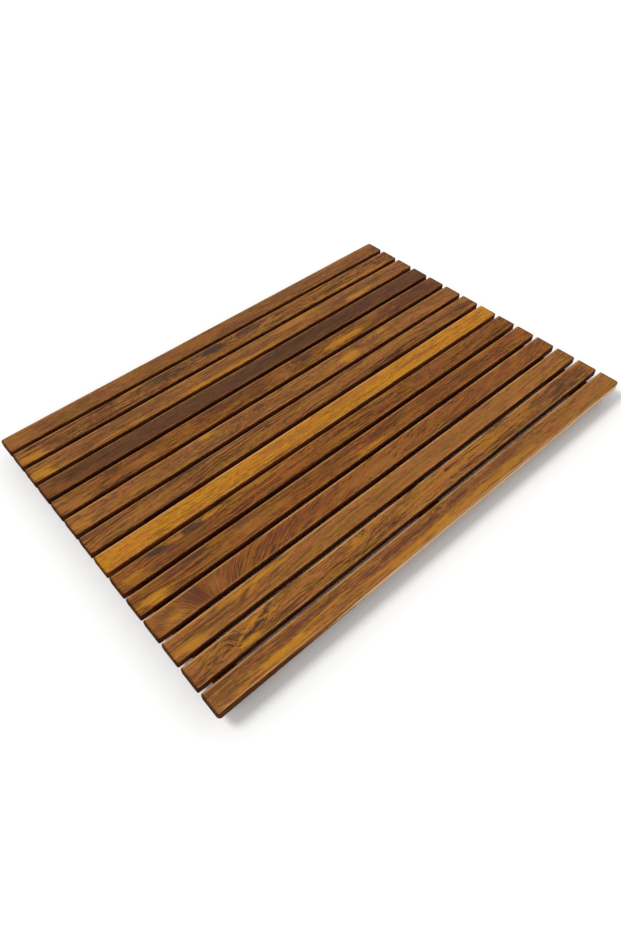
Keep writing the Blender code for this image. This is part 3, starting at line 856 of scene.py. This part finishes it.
def board_bmesh(size, corner_radii, edge_radius):
    """A board along X, centred on the origin. corner_radii holds the radius at low and at high Y."""
    bm = bmesh.new()
    bmesh.ops.create_cube(bm, size=1.0)
    bmesh.ops.scale(bm, vec=size, verts=bm.verts)
    for side, radius in zip((-1, 1), corner_radii):
        corners = [edge for edge in bm.edges if is_square_corner(edge, size, side)]
        bevel_edges(bm, corners, radius, CORNER_SEGMENTS)
    bevel_edges(bm, [edge for edge in bm.edges if not is_upright(edge)], edge_radius, RIM_SEGMENTS)
    inner = size.x - 2 * max(*corner_radii, edge_radius) - 0.002
    for band in range(SLAT_BANDS + 1):
        cut_across(bm, (inner * (band / SLAT_BANDS - 0.5), 0, 0), (1, 0, 0))
    return bm


def hand_sand(bm, amount, seed):
    """Moves each point a little along its normal, as sanding by hand leaves a board."""
    bm.normal_update()
    shifts = []
    for vertex in bm.verts:
        x, y, z = vertex.co
        spot = Vector((x * SAND_ALONG + seed * SAND_STEP, y * SAND_ACROSS, z * SAND_ACROSS))
        shifts.append(vertex.normal * noise.noise(spot) * amount)
    for vertex, shift in zip(bm.verts, shifts):
        vertex.co += shift


def wear_front_edge(bm, size, shape):
    """Rounds the front top edge over towards the board's left end, as years of feet do."""
    edge = -size.y / 2
    for share in WORN_CUTS:
        cut_across(bm, (0, edge + shape.worn_width * share, 0), (0, 1, 0))
    for vertex in bm.verts:
        near = 1 - (vertex.co.y - edge) / shape.worn_width
        left = 1 - (vertex.co.x + size.x / 2) / shape.worn_length
        if vertex.co.z > 0 and near > 0 and left > 0:
            vertex.co.z -= shape.worn_depth * near ** 2 * min(1.0, left * WORN_START)


def turned_bmesh(profile, sides):
    """A solid turned about Z from (radius, height) points, both ends on the axis."""
    bm = bmesh.new()
    points = [bm.verts.new((radius, 0.0, height)) for radius, height in profile]
    outline = [bm.edges.new(pair) for pair in zip(points, points[1:])]
    bmesh.ops.spin(
        bm, geom=points + outline, axis=(0, 0, 1), cent=(0, 0, 0), angle=2 * math.pi, steps=sides,
        use_merge=True,
    )
    bmesh.ops.remove_doubles(bm, verts=bm.verts, dist=SAME_PLACE)
    return bm


def cut_six_lobes(bm, radius, depth):
    """Draws the mouth and the floor of a turned socket into six lobes."""
    for vertex in bm.verts:
        flat = Vector((vertex.co.x, vertex.co.y))
        if 0.5 * radius < flat.length < 1.3 * radius and vertex.co.z <= depth + SAME_PLACE:
            flat *= 1 + 0.15 * math.cos(6 * math.atan2(flat.y, flat.x))
            vertex.co.x, vertex.co.y = flat


def add_thread(bm, core, crest, pitch, low, high):
    """A triangular ridge wound round the core, closed at both ends."""
    inner = core - 0.0001
    outline = ((inner, low - 0.4 * pitch), (crest, low), (inner, low + 0.4 * pitch))
    points = [bm.verts.new((radius, 0.0, height)) for radius, height in outline]
    edges = [bm.edges.new((points[i], points[i - 1])) for i in range(3)]
    bm.faces.new(points)
    steps = round((high - low) / pitch * THREAD_STEPS)
    made = bmesh.ops.spin(
        bm, geom=points + edges, axis=(0, 0, 1), cent=(0, 0, 0), dvec=(0, 0, pitch / THREAD_STEPS),
        angle=2 * math.pi * steps / THREAD_STEPS, steps=steps,
    )
    bm.faces.new([item for item in made["geom_last"] if isinstance(item, bmesh.types.BMVert)])


def screw_bmesh(length, fittings):
    """A countersunk screw, its head on the ground plane and its point up."""
    head, core = fittings.head_radius, fittings.core_radius
    crest = core + fittings.thread_depth
    socket, deep = fittings.socket_radius, fittings.socket_depth
    in_head = (
        (0.0, deep + 0.0002), (socket * 0.9, deep), (socket, 0.0001), (socket * 1.08, 0.0),
        (head - 0.00015, 0.0), (head, 0.00012), (head, 0.00030),
    )
    neck = ((crest, 0.0019), (core, 0.0026))
    point = ((core, length - 0.003), (0.0003, length - 0.0002), (0.0, length))
    bm = turned_bmesh((*in_head, *neck, *point), SCREW_SIDES)
    cut_six_lobes(bm, socket, deep)
    add_thread(bm, core, crest, fittings.thread_pitch, 0.0040, length - 0.0032)
    return bm


def foot_bmesh(radius, height, dish):
    """A round rubber foot with a dished underside and softened rims."""
    hollow = ((0.0, dish), (radius * 0.55, dish), (radius * 0.63, dish * 0.35))
    tread = ((radius * 0.69, 0.0), (radius * 0.88, 0.0), (radius * 0.95, 0.00012), (radius * 0.99, 0.00045))
    wall = ((radius, 0.0009), (radius, height - 0.0004), (radius - 0.0003, height), (0.0, height))
    return turned_bmesh((*hollow, *tread, *wall), FOOT_SIDES)


# ---------------------------------------------------------------- operators


class BATHMAT_OT_node_groups(bpy.types.Operator):
    """Make the shader groups that the wood and the fittings share"""

    bl_idname = "bathmat.node_groups"
    bl_label = "Shader groups"

    def execute(self, context):
        for make in (
            make_knot_group, make_sweep_group, make_patch_group, make_teak_group, make_cut_group,
            make_scuff_group,
        ):
            make()
        return {"FINISHED"}


class BATHMAT_OT_slats(bpy.types.Operator):
    """Make the slats, each with its own cut of teak"""

    bl_idname = "bathmat.slats"
    bl_label = "Slats"

    def execute(self, context):
        need(SLAT_NODES, "slats")
        if len(SLAT_LOOKS) < len(SLAT_NODES):
            raise RuntimeError("there are more slats than looks")
        settings = context.scene.bath_mat
        shape = settings.slats
        last = len(SLAT_NODES) - 1
        for index, node in enumerate(SLAT_NODES):
            near = shape.outer_corner_radius if index == last else shape.corner_radius
            far = shape.outer_corner_radius if index == 0 else shape.corner_radius
            bm = board_bmesh(size_of(node), (near, far), shape.edge_radius)
            if index == last:
                wear_front_edge(bm, size_of(node), shape)
            hand_sand(bm, shape.hand_finish, index)
            bmesh.ops.translate(bm, vec=middle_of(node), verts=bm.verts)
            look = SLAT_LOOKS[index]
            material = make_teak_material("teak_" + node, node, look, float(index + 1), settings.wood)
            add_piece("wood_" + node, bm, material, node)
        return {"FINISHED"}


class BATHMAT_OT_battens(bpy.types.Operator):
    """Give the cross battens their teak"""

    bl_idname = "bathmat.battens"
    bl_label = "Battens"

    def execute(self, context):
        need(BATTEN_NODES, "battens")
        wood = context.scene.bath_mat.wood
        for index, node in enumerate(BATTEN_NODES):
            seed = BATTEN_SEED + index
            material = make_teak_material("teak_" + node, node, BATTEN_LOOK, seed, wood, turned=True)
            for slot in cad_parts[node].material_slots:
                slot.material = material
        return {"FINISHED"}


class BATHMAT_OT_fittings(bpy.types.Operator):
    """Make the stainless screws and the rubber feet"""

    bl_idname = "bathmat.fittings"
    bl_label = "Screws and feet"

    def execute(self, context):
        need(SCREW_NODES, "screws")
        need(FOOT_NODES, "feet")
        fittings = context.scene.bath_mat.fittings
        steel = make_fitting_material(
            "brushed_stainless", fittings.steel, roughness=0.30, metallic=1.0, scale=900.0, depth=0.00003
        )
        rubber = make_fitting_material(
            "matt_rubber", fittings.rubber, roughness=0.62, metallic=0.0, scale=500.0, depth=0.00006
        )
        for node in SCREW_NODES:
            self.place("steel_" + node, screw_bmesh(size_of(node).z, fittings), node_foot(node), steel, node)
        pattern = SCREW_NODES[0]
        for index, slat in enumerate(SLAT_NODES, 1):
            spot = Vector((middle_of("batten_middle").x, middle_of(slat).y, node_foot(pattern).z))
            bm = screw_bmesh(size_of(pattern).z, fittings)
            self.place(f"steel_screw_middle_{index:02d}", bm, spot, steel, pattern, replace=False)
        for node in FOOT_NODES:
            size = size_of(node)
            bm = foot_bmesh(size.x / 2, size.z, fittings.foot_dish)
            self.place("rubber_" + node, bm, node_foot(node), rubber, node)
        return {"FINISHED"}

    @staticmethod
    def place(name, bm, spot, material, node, replace=True):
        """Adds a fitting at the spot. It stands for the node, which it hides, or with replace False leaves
        the node shown.
        """
        bmesh.ops.translate(bm, vec=spot, verts=bm.verts)
        add_piece(name, bm, material, node if replace else None, 30)


class BATHMAT_OT_stage(bpy.types.Operator):
    """Set up the floor, the soft lights and the camera"""

    bl_idname = "bathmat.stage"
    bl_label = "Stage"

    def execute(self, context):
        stage = context.scene.bath_mat.stage
        self.make_floor(stage)
        self.make_sky(context.scene, stage)
        self.make_key(context.scene, stage)
        data = bpy.data.cameras.new("camera")
        data.lens = stage.lens
        data.clip_start = 0.01
        camera = bpy.data.objects.new("camera", data)
        camera.location = stage.camera_place
        camera.rotation_euler = stage.camera_turn
        context.scene.collection.objects.link(camera)
        context.scene.camera = camera
        context.scene.view_settings.view_transform = "Standard"
        return {"FINISHED"}

    @staticmethod
    def make_floor(stage):
        material, _, shader, _ = new_material("pale_floor")
        shader.inputs["Base Color"].default_value = (*stage.floor, 1.0)
        shader.inputs["Roughness"].default_value = 0.9
        shader.inputs["Specular IOR Level"].default_value = 0.1
        bm = bmesh.new()
        bmesh.ops.create_grid(bm, x_segments=1, y_segments=1, size=FLOOR_HALF_SIZE)
        mesh = bpy.data.meshes.new("floor")
        bm.to_mesh(mesh)
        bm.free()
        mesh.materials.append(material)
        floor = bpy.data.objects.new("floor", mesh)
        bpy.context.scene.collection.objects.link(floor)

    @staticmethod
    def make_sky(scene, stage):
        world = bpy.data.worlds.new("studio")
        world.use_nodes = True
        background = world.node_tree.nodes["Background"]
        background.inputs["Color"].default_value = (1.0, 1.0, 1.0, 1.0)
        sky = world.node_tree
        _, _, up = split(sky, sky.nodes.new("ShaderNodeTexCoord").outputs["Generated"])
        plug(sky, background.inputs["Strength"], ramp(sky, up, 0.5, 0.9, stage.sky, stage.zenith))
        scene.world = world

    @staticmethod
    def make_key(scene, stage):
        data = bpy.data.lights.new("key", "SUN")
        data.energy = stage.key
        data.angle = stage.key_width
        light = bpy.data.objects.new("key", data)
        light.location = stage.key_side
        light.rotation_euler = Vector(stage.key_side).to_track_quat("Z", "Y").to_euler()
        scene.collection.objects.link(light)


class BATHMAT_PT_panel(bpy.types.Panel):
    """Lists the bath mat's operators and settings"""

    bl_idname = "BATHMAT_PT_panel"
    bl_label = "Bath Mat"
    bl_space_type = "VIEW_3D"
    bl_region_type = "UI"
    bl_category = "Bath Mat"

    def draw(self, context):
        layout = self.layout
        settings = context.scene.bath_mat
        for operator in OPERATORS:
            layout.operator(operator.bl_idname)
        for group in (settings.wood, settings.slats, settings.fittings, settings.stage):
            box = layout.box()
            for name in group.bl_rna.properties.keys():
                if name not in ("rna_type", "name"):
                    box.prop(group, name)


OPERATORS = (
    BATHMAT_OT_node_groups, BATHMAT_OT_slats, BATHMAT_OT_battens, BATHMAT_OT_fittings, BATHMAT_OT_stage,
)
CLASSES = (
    BathMatWoodSettings, BathMatSlatSettings, BathMatFittingSettings, BathMatStageSettings, BathMatSettings,
    *OPERATORS, BATHMAT_PT_panel,
)


def register():
    for cls in CLASSES:
        bpy.utils.register_class(cls)
    bpy.types.Scene.bath_mat = PointerProperty(type=BathMatSettings)


def unregister():
    del bpy.types.Scene.bath_mat
    for cls in reversed(CLASSES):
        bpy.utils.unregister_class(cls)


def main():
    register()
    bpy.ops.bathmat.node_groups()
    bpy.ops.bathmat.slats()
    bpy.ops.bathmat.battens()
    bpy.ops.bathmat.fittings()
    bpy.ops.bathmat.stage()


if __name__ == "__main__":
    main()
